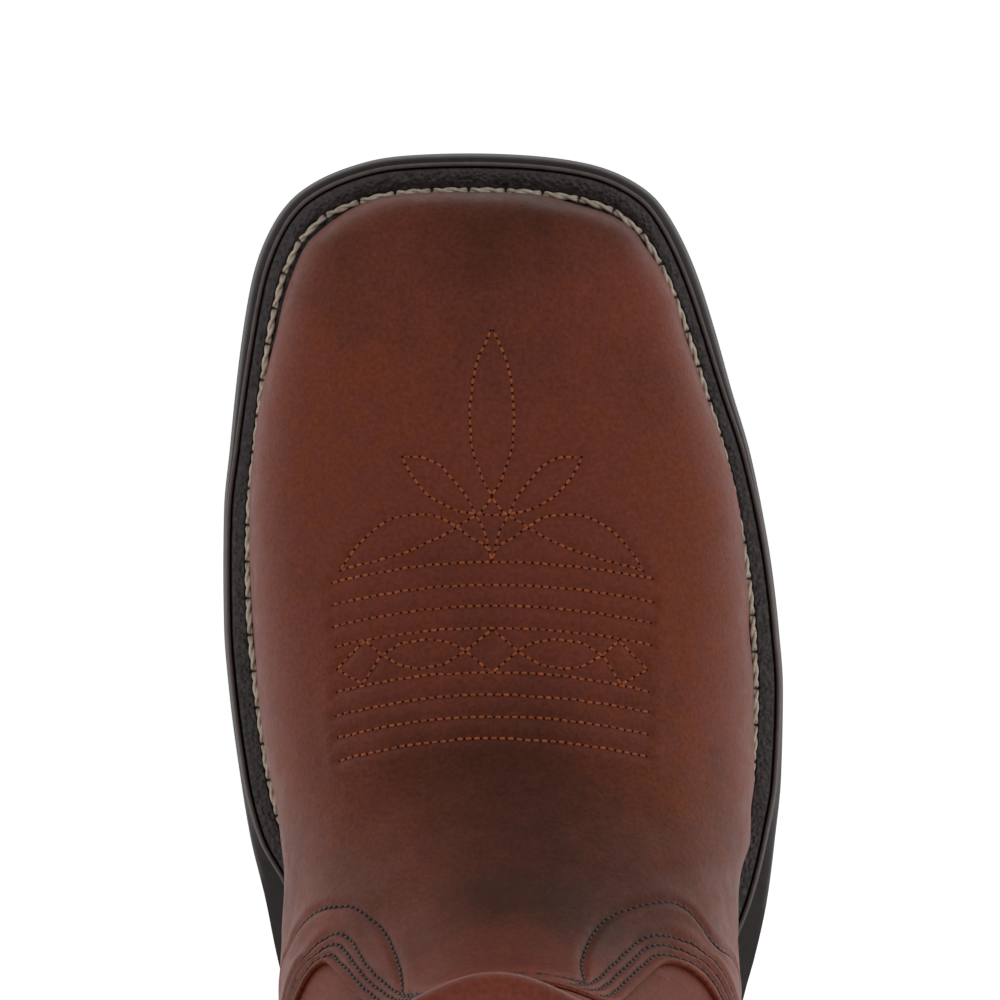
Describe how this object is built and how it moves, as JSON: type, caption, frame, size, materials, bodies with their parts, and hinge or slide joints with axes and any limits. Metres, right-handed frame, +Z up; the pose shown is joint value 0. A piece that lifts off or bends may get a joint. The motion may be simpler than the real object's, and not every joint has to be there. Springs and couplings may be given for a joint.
{
  "type": "western work boot",
  "caption": "Right western work boot with a tall shaft, a broad square toe, a stitched vamp with a tongue and side scallops, a block heel and a lugged rubber sole.",
  "frame": {"origin": "on the floor under the middle of the boot's bounding box", "axes": "+Z up, the toe points to -Y, the medial side of the foot is towards +X"},
  "size_m": [0.118, 0.306, 0.3276],
  "materials": {
    "brown_leather": "satin",
    "insole_leather": "matte",
    "dark_rubber": "satin"
  },
  "bodies": {
    "root": {"upper": "brown_leather", "vamp": "brown_leather", "counter": "brown_leather", "seam_medial": "brown_leather", "seam_lateral": "brown_leather", "binding": "brown_leather", "insole": "insole_leather", "welt": "dark_rubber", "outsole": "dark_rubber", "heel_block": "dark_rubber", "top_lift": "dark_rubber"}
  },
  "joints": []
}
